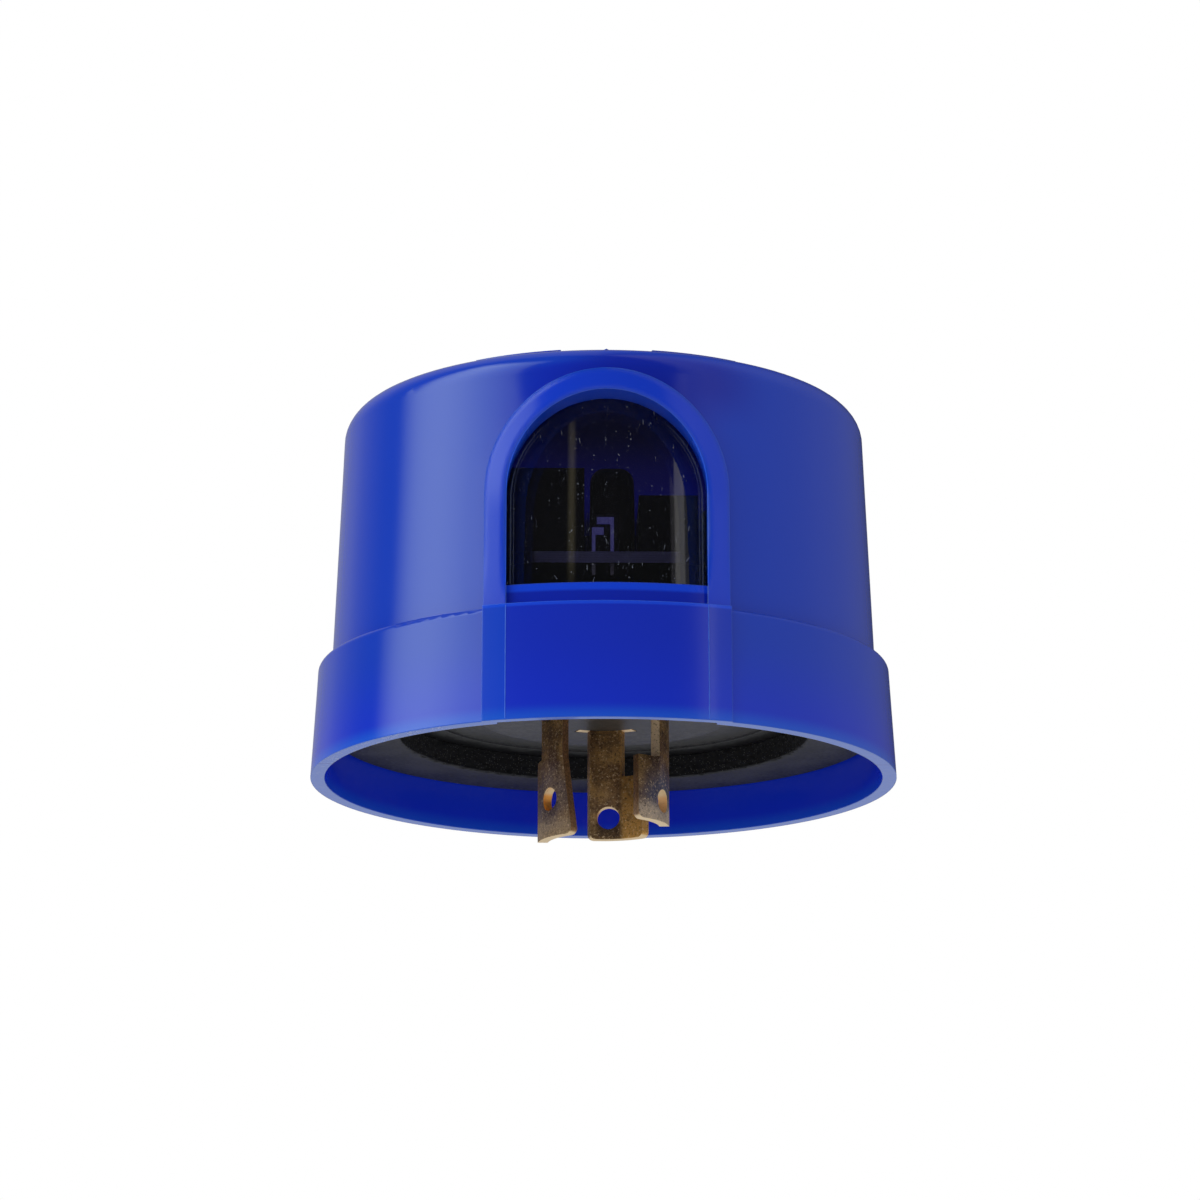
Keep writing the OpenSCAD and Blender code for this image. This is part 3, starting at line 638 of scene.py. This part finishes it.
def buildSeal():
    shape = bmesh.new()
    outline = sealOutline()
    rings = []
    for k in range(seal["turns"]):
        a = math.tau * k / seal["turns"]
        way = Vector((math.cos(a), math.sin(a), 0))
        sway = 0.5 + 0.5 * noise.noise(way * 9.0)
        ring = []
        for radius, level, coarse in outline:
            place = way * radius + Vector((0, 0, level))
            pit = noise.fractal(place * 1.7, 0.8, 2.0, 4) * 0.5 + 0.5
            radius += coarse * (seal["swayDepth"] * sway + seal["pitDepth"] * max(0.0, pit - 0.25))
            place = way * radius + Vector((0, 0, level))
            ring.append(shape.verts.new(place * mm))
        rings.append(ring)
    for k, ring in enumerate(rings):
        after = rings[(k + 1) % len(rings)]
        for i in range(len(ring)):
            j = (i + 1) % len(ring)
            shape.faces.new((ring[i], after[i], after[j], ring[j]))
    bmesh.ops.recalc_face_normals(shape, faces=shape.faces)
    piece = addPiece("sealFoam", shape, foamSkin())
    piece.data.shade_smooth()
    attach(piece, "root")
    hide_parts("seal_ring")
    print("foam seal cut")


# base plate: dull dark grey moulding

basePlate = {
    "light": (0.074, 0.073, 0.068),
    "dark": (0.034, 0.034, 0.032),
    "sand": (0.012, 0.012, 0.011),
    # painted highlight along the edges
    "edge": (0.14, 0.145, 0.155),
    "dust": (0.22, 0.22, 0.23),
    # painted shade towards the foam
    "band": (0.014, 0.015, 0.017),
    "glue": (0.006, 0.006, 0.007),
    "edgeRadius": 0.25 * mm,
    # distances from the middle
    "bandEnds": (19.0 * mm, 27.5 * mm),
    "glueStart": (26.8 * mm, 27.2 * mm),
    # a thin dark ring, the painted shadow of a step
    "line": 25.2 * mm,
    "lineHalf": (0.08 * mm, 0.22 * mm),
    "ragged": 6.0 * mm,
}


def greyPlastic():
    material, tree = newMaterial("greyPlastic")
    pos = tree.pos()
    soft, edge = tree.edges(basePlate["edgeRadius"], 2.0)
    cloud = tree.grain(pos, 70.0, 4.0, 0.6)
    colour = tree.mix(cloud.ramp(0.32, 0.68), basePlate["dark"], basePlate["light"])
    sand = tree.grain(pos, 1300.0, 3.0, 0.75).ramp(0.40, 0.60)
    colour = tree.mix((1.0 - sand) * 0.6, colour, basePlate["sand"])
    # painted highlight: the edges are painted lighter
    colour = tree.mix(edge * 0.35, colour, basePlate["edge"])
    dust = tree.specks(pos, 300.0, 0.08, 0.10)
    colour = tree.mix(dust * 0.5, colour, basePlate["dust"])
    # residue of the foam's glue, ragged, and painted shade: a darker band inside it, towards the foam, and
    # a thin broken dark ring, the painted shadow of a step
    x, y = tree.split(pos)[:2]
    radius = x.span(y)
    ragged = radius + (tree.grain(pos, 380.0, 3.0, 0.7) - 0.5) * basePlate["ragged"]
    colour = tree.mix(radius.ramp(*basePlate["bandEnds"]) * 0.5, colour, basePlate["band"])
    glue = ragged.ramp(*basePlate["glueStart"])
    line = 1.0 - abs(ragged - basePlate["line"]).ramp(*basePlate["lineHalf"])
    line = line * tree.grain(pos, 150.0).ramp(0.45, 0.55)
    colour = tree.mix((glue + line * 0.8).clamp(), colour, basePlate["glue"])
    skin = tree.bump(tree.grain(pos, 900.0, 3.0) + glue * 0.5, 0.15, 0.06 * mm, soft)
    tree.finish({"Base Color": colour, "Roughness": 0.36 + cloud * 0.2, "Normal": skin, "IOR": 1.5})
    return material


# blades: stamped brass, tarnished on the faces and bright where it was cut

blade = {
    "holeLevel": -10.15 * mm,
    "holeRadius": 1.65 * mm,
    "neckLevel": -3.8 * mm,
    "halo": (2.4 * mm, 6.6 * mm),
    "tipRise": (1.2 * mm, 3.4 * mm),
    "footStart": (1.4 * mm, 2.6 * mm),
    "brass": (0.64, 0.37, 0.115),
    "bright": (0.98, 0.75, 0.42),
    "hole": (1.0, 0.46, 0.10),
    "umber": (0.25, 0.135, 0.050),
    "polished": (0.64, 0.49, 0.32),
    "gold": (0.85, 0.46, 0.11),
    "soot": (0.05, 0.036, 0.024),
    "steelBlue": (0.135, 0.140, 0.180),
    "rust": (0.46, 0.24, 0.10),
    "tan": (0.95, 0.72, 0.40),
    "edgeRadius": 0.18 * mm,
    "bevel": 0.14 * mm,
    "flatAngle": 0.5,  # degrees
    "bevelAngle": 40,
    "sharpAngle": 38,
}

# where the hole points, and how much of each mark the blade has
bladePieces = [
    {"node": "blade_line", "piece": "lineBlade", "hole": 214.2, "seed": (0.3, 0.1, 0.0),
     "blue": 0.5, "streaks": 0.0, "tan": 0.0, "rust": 1.0,
     "low": 0.4, "sooty": 0.0, "gold": 0.0, "holeGlint": 0.0},
    {"node": "blade_load", "piece": "loadBlade", "hole": 334.0, "seed": (0.0, 0.7, 0.2),
     "blue": 0.9, "streaks": 0.2, "tan": 0.8, "rust": 0.8,
     "low": 0.9, "sooty": 0.0, "gold": 0.0, "holeGlint": 0.5},
    {"node": "blade_neutral", "piece": "neutralBlade", "hole": 84.3, "seed": (0.5, 0.0, 0.9),
     "blue": 0.15, "streaks": 0.3, "tan": 0.0, "rust": 0.1,
     "low": 0.0, "sooty": 0.5, "gold": 0.85, "holeGlint": 0.3},
]


def tarnishedBrass(item):
    material, tree = newMaterial("tarnishedBrass_" + item["piece"])
    pos = tree.pos()
    x, y, z = tree.split(pos)
    here = tree.vec("ADD", pos, item["seed"])
    normal = tree.normal()
    outward = tree.vec("NORMALIZE", tree.join(x, y, 0.0), black)
    facing = abs(tree.vec("DOT_PRODUCT", outward, normal, "Value"))
    cutEdge = 1.0 - facing.ramp(0.72, 0.92)
    turn = math.radians(item["hole"])
    across = tree.vec("DOT_PRODUCT", pos, (-math.sin(turn), math.cos(turn), 0), "Value")
    toHole = across.span(z - blade["holeLevel"])
    inHole = cutEdge * (toHole < blade["holeRadius"] * 1.05)
    tip = cutEdge * (-tree.split(normal)[2]).ramp(0.4, 0.8)

    cloud = tree.grain(here, 240.0, 5.0, 0.62)
    stain = tree.grain(here, 95.0, 4.0, 0.55)
    fine = tree.grain(here, 2900.0, 3.0, 0.8)
    colour = tree.mix(cloud.ramp(0.36, 0.66), blade["umber"], blade["brass"])
    colour = tree.mix(stain.ramp(0.40, 0.62) * 0.45, colour, blade["umber"])
    rolled = tree.grain(tree.vec("MULTIPLY", here, (0.25, 0.25, 2.2)), 420.0, 4.0, 0.65)
    colour = tree.mix(rolled.ramp(0.50, 0.64) * item["streaks"], colour, blade["soot"])
    halo = 1.0 - toHole.ramp(*blade["halo"])
    blue = halo * cloud.ramp(0.08, 0.42) * item["blue"]
    colour = tree.mix(blue, colour, blade["steelBlue"])
    tipLevel = min(corner.co.z for corner in nodes[item["node"]].data.vertices)
    low = 1.0 - z.ramp(*(tipLevel + rise for rise in blade["tipRise"]))
    colour = tree.mix(low * stain.ramp(0.20, 0.45) * item["low"], colour, blade["polished"])
    colour = tree.mix(low * item["sooty"], colour, blade["soot"])
    foot = (-across).ramp(*blade["footStart"]) * item["gold"]
    colour = tree.mix(foot * cloud.ramp(0.15, 0.45), colour, blade["gold"])
    # grains of bare metal and of dirt
    colour = tree.mix(fine.ramp(0.56, 0.66) * 0.8, colour, blade["bright"])
    colour = tree.mix((1.0 - fine.ramp(0.34, 0.46)) * 0.75, colour, blade["soot"])
    flecks = tree.specks(here, 1500.0, 0.16, 0.10)
    colour = tree.mix(flecks * 0.8, colour, blade["bright"])
    # cut edges, necks, the hole and the tip
    side = tree.mix(fine.ramp(0.40, 0.62), blade["umber"], blade["rust"])
    colour = tree.mix(cutEdge * item["rust"], colour, side)
    upper = cutEdge * (z > blade["neckLevel"]) * item["tan"]
    colour = tree.mix(upper * fine.ramp(0.30, 0.5), colour, blade["tan"])
    # painted highlight: the hole's wall is painted brighter for a glint, and made less metallic, by each
    # blade's share
    bore = tree.mix(item["holeGlint"], blade["hole"], blade["bright"])
    bare = fine.ramp(0.15, 0.45)
    colour = tree.mix(inHole * bare, colour, bore)
    colour = tree.mix(tip * bare, colour, blade["bright"])
    soft, edge = tree.edges(blade["edgeRadius"], 1.6)
    # painted highlight: the edges are painted brighter
    colour = tree.mix(edge * 0.5, colour, blade["bright"])
    worn = (inHole + tip + upper).clamp()
    metal = 0.85 - blue * 0.3 - tip * 0.25 - upper * 0.6
    metal = metal - low * (item["low"] * 0.5) - inHole * (item["holeGlint"] * 0.5)
    tree.finish({
        "Base Color": colour,
        "Roughness": 0.42 + cloud * 0.16 - worn * 0.06,
        "Metallic": metal,
        "Normal": tree.bump(fine * 1.4 + cloud * 0.4, 0.35, 0.05 * mm, soft),
    })
    return material


def buildBlade(item):
    shape = weldedMesh(item["node"])
    flat = math.radians(blade["flatAngle"])
    bmesh.ops.dissolve_limit(shape, angle_limit=flat, verts=shape.verts, edges=shape.edges)
    steep = math.radians(blade["bevelAngle"])
    sharp = [e for e in shape.edges if len(e.link_faces) == 2 and e.calc_face_angle() > steep]
    bmesh.ops.bevel(
        shape, geom=sharp, offset=blade["bevel"], offset_type="OFFSET", segments=2, profile=0.6,
        affect="EDGES", clamp_overlap=True,
    )
    bmesh.ops.triangulate(shape, faces=shape.faces)
    piece = addPiece(item["piece"], shape, tarnishedBrass(item))
    piece.data.shade_smooth()
    piece.data.set_sharp_from_angle(angle=math.radians(blade["sharpAngle"]))
    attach(piece, "root")
    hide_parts(item["node"])
    print("blade stamped:", item["piece"])


# circuit board and what is soldered to it

board = {
    "coat": (0.030, 0.055, 0.040),
    "trace": (0.06, 0.11, 0.07),
    "fibre": (0.46, 0.48, 0.88),
    "weave": (0.28, 0.30, 0.60),
    "shade": (0.010, 0.010, 0.016),
    "shadeStart": (9.4 * mm, 10.6 * mm),
    "top": 19.2 * mm,
}


def boardLaminate():
    material, tree = newMaterial("boardLaminate")
    pos = tree.pos()
    side = 1.0 - abs(tree.split(tree.normal())[2]).ramp(0.3, 0.7)
    sockets = {"Vector": pos, "Scale": 900.0, "Distortion": 1.5}
    weave = tree.add("ShaderNodeTexWave", {"bands_direction": "Z"}, sockets, "Fac")
    sockets = {
        "Vector": pos, "Scale": 110.0, "Mortar Size": 0.03,
        "Color1": (*black, 1.0), "Color2": (*black, 1.0), "Mortar": (*white, 1.0),
    }
    copper = tree.add("ShaderNodeTexBrick", {"offset": 0.5}, sockets, "Color")
    coat = tree.mix(tree.split(copper)[0] * 0.5, board["coat"], board["trace"])
    edge = tree.mix(weave * 0.5, board["fibre"], board["weave"])
    # only the middle of the front edge is in the light of the window
    edge = tree.mix(abs(tree.split(pos)[0]).ramp(*board["shadeStart"]), edge, board["shade"])
    tree.finish({
        "Base Color": tree.mix(side, coat, edge),
        "Roughness": 0.38 + side * 0.35,
        "Normal": tree.bump(weave, 0.2, 0.05 * mm),
    })
    return material


# one moulded or dipped finish for the small parts, each with its own colour and gloss
smallParts = [
    {"node": "relay", "colour": (0.012, 0.012, 0.014), "rough": 0.42, "grain": 900.0},
    {"node": "varistor", "colour": (0.022, 0.016, 0.012), "rough": 0.35, "grain": 420.0},
    {"node": "dropper_capacitor", "colour": (0.016, 0.015, 0.016), "rough": 0.4, "grain": 800.0},
    {"node": "smoothing_capacitor", "colour": (0.012, 0.013, 0.022), "rough": 0.25, "grain": 600.0},
    {"node": "rectifier_diodes", "colour": (0.015, 0.015, 0.016), "rough": 0.45, "grain": 900.0},
    {"node": "zener_diode", "colour": (0.42, 0.12, 0.04), "rough": 0.15, "grain": 700.0},
    {"node": "resistors", "colour": (0.46, 0.34, 0.19), "rough": 0.4, "grain": 700.0},
    {"node": "driver_transistor", "colour": (0.014, 0.014, 0.015), "rough": 0.5, "grain": 900.0},
]

tin = {
    "lead": (0.6, 0.6, 0.63), "dull": (0.60, 0.60, 0.66), "pale": (0.82, 0.82, 0.88),
    "leadRise": 0.12 * mm,
}


def smallPartFinish(item):
    material, tree = newMaterial("finish_" + item["node"])
    pos = tree.pos()
    soft, edge = tree.edges(0.2 * mm, 2.0)
    cloud = tree.grain(pos, item["grain"], 3.0)
    pale = tuple(min(1.0, c * 1.6 + 0.01) for c in item["colour"])
    # random lighter patches, and a painted highlight on the edges
    colour = tree.mix(cloud * 0.5 + edge * 0.4, item["colour"], pale)
    # leads below each body are tinned
    lead = tree.split(pos)[2] < board["top"] + tin["leadRise"]
    tree.finish({
        "Base Color": tree.mix(lead, colour, tin["lead"]),
        "Roughness": item["rough"] + cloud * 0.1,
        "Metallic": lead,
        "Normal": tree.bump(cloud, 0.15, 0.04 * mm, soft),
    })
    return material


def tinnedMetal(name, metallic, lit):
    material, tree = newMaterial(name)
    pos = tree.pos()
    above = tree.split(pos)[2] > board["top"]
    cloud = tree.grain(pos, 800.0, 4.0, 0.6)
    tree.finish({
        "Base Color": tree.mix(cloud, tin["dull"], tin["pale"]),
        "Roughness": 0.28 + cloud * 0.25,
        "Metallic": metallic,
        "Emission Color": tree.mix(above, black, lit),
        "Emission Strength": 1.0,
        "Normal": tree.bump(cloud, 0.2, 0.03 * mm),
    })
    return material


# the lead frame stands a hair proud of its pocket in the clear package
leadFrame = {"proud": 0.02 * mm, "lit": (0.05, 0.05, 0.26)}  # in the blue light behind the pane


def buildLeadFrame():
    shape = weldedMesh("sensor_leads")
    shape.normal_update()
    for vert, way in [(v, v.normal.copy()) for v in shape.verts]:
        vert.co += way * leadFrame["proud"]
    piece = addPiece("sensorLeadFrame", shape, tinnedMetal("leadFrameTin", 0.1, leadFrame["lit"]))
    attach(piece, "root")
    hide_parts("sensor_leads")
    print("lead frame set")


resin = {"deep": (0.05, 0.05, 0.09), "pale": (0.09, 0.09, 0.15), "edgeRadius": 0.15 * mm}


def sensorResin():
    material, tree = newMaterial("sensorResin")
    soft, edge = tree.edges(resin["edgeRadius"], 2.0)
    cloud = tree.grain(tree.pos(), 500.0)
    tree.finish({
        "Base Color": tree.mix(cloud * 0.4, resin["deep"], resin["pale"]),
        "Roughness": 0.08 + cloud * 0.05,
        "Alpha": (0.14 + edge * 0.3).clamp(),
        "Normal": soft,
        "IOR": 1.5,
    })
    return material


# fine raised lines that the mould's slide left on the panel; lengths in mm

witness = {
    "place": 13.65, "width": 0.16, "proud": 0.05, "low": -6.3, "high": 9.3, "round": 50.0, "steps": 24,
    "blue": (0.008, 0.07, 0.62),
    # section of a line: place in half widths, and share of the height
    "section": [(-1.0, -0.06), (-0.5, 0.8), (0.0, 1.0), (0.5, 0.8), (1.0, -0.06)],
}


def witnessBlue():
    material, tree = newMaterial("witnessBlue")
    cloud = tree.grain(tree.pos(), 300.0, 3.0)
    colour = tree.mix(cloud * 0.7, witness["blue"], housing["edge"])
    tree.finish({"Base Color": colour, "Roughness": 0.25 + cloud * 0.1})
    return material


def buildWitnessLines():
    shape = bmesh.new()
    centre = witness["round"] + cadBox[0].y / mm  # the panel is the part's foremost face
    half = witness["width"] / 2
    steps = witness["steps"]
    for side in (-1, 1):
        rows = []
        for k in range(steps + 1):
            level = witness["low"] + (witness["high"] - witness["low"]) * k / steps
            swell = 0.8 + 0.4 * noise.noise(Vector((side * 3.0, 0, level * 0.9)))
            row = []
            for across, out in witness["section"]:
                x = side * witness["place"] + across * half * swell
                y = centre - math.sqrt(witness["round"] ** 2 - x * x) - witness["proud"] * out
                row.append(shape.verts.new(Vector((x, y, level)) * mm))
            rows.append(row)
        for low, high in zip(rows, rows[1:]):
            for i in range(4):
                shape.faces.new((low[i], low[i + 1], high[i + 1], high[i]))
            shape.faces.new((low[4], low[0], high[0], high[4]))  # back, inside the panel
        shape.faces.new(rows[0])
        shape.faces.new(rows[-1])
    bmesh.ops.recalc_face_normals(shape, faces=shape.faces)
    piece = addPiece("panelWitnessLines", shape, witnessBlue())
    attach(piece, "root")
    print("witness lines laid")


placeCamera()
drawWorld()
for lamp in lamps:
    placeLamp(lamp)
layFloor()
dress(bluePlastic(), "housing")
dress(smokePane(), "window_pane")
dress(greyPlastic(), "base_plate")
buildSeal()
for item in bladePieces:
    buildBlade(item)
dress(boardLaminate(), "circuit_board")
dress(tinnedMetal("tinnedMetal", 0.9, black), "board_screws", "solder_joints")
buildLeadFrame()
dress(sensorResin(), "light_sensor")
for item in smallParts:
    dress(smallPartFinish(item), item["node"])
buildWitnessLines()
print("finishes laid on")

scene.view_settings.view_transform = "Standard"
